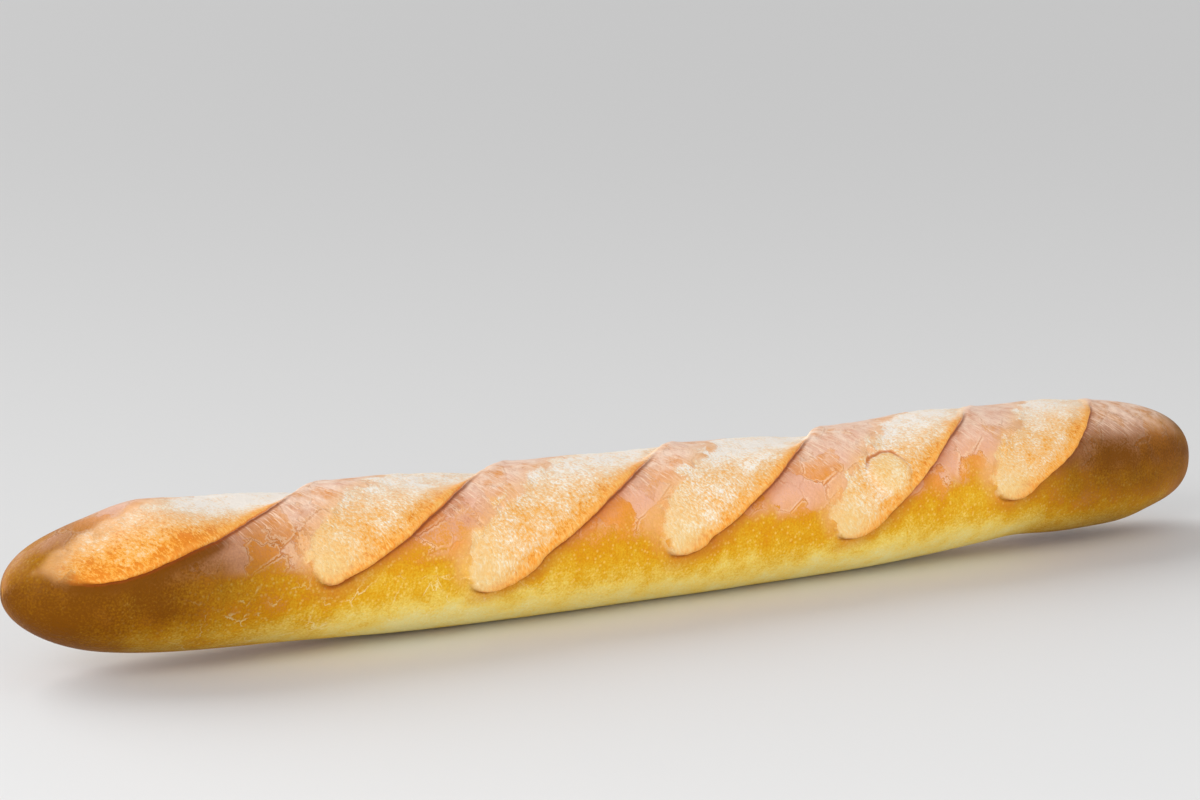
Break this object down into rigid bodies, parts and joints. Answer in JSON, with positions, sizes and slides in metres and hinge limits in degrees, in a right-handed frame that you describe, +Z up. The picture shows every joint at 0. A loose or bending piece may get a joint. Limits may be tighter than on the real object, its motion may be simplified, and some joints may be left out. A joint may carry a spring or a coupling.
{
  "type": "baguette",
  "caption": "Long crusty white loaf with blunt rounded ends and slanting cuts opened along its crown; rests on its flat-bottomed underside to be sliced or served.",
  "frame": {"origin": "middle of the loaf on the surface it rests on, below the centre of its bounding box", "axes": "+X along the loaf, +Z up through the crown, -Y towards the side where the raised lips of the cuts show"},
  "size_m": [0.56, 0.0662, 0.0625],
  "materials": {
    "crust": "baked bread crust, satin on the browned skin, matt and finely mottled in the opened cuts"
  },
  "bodies": {
    "root": {"loaf": "crust"}
  },
  "joints": []
}
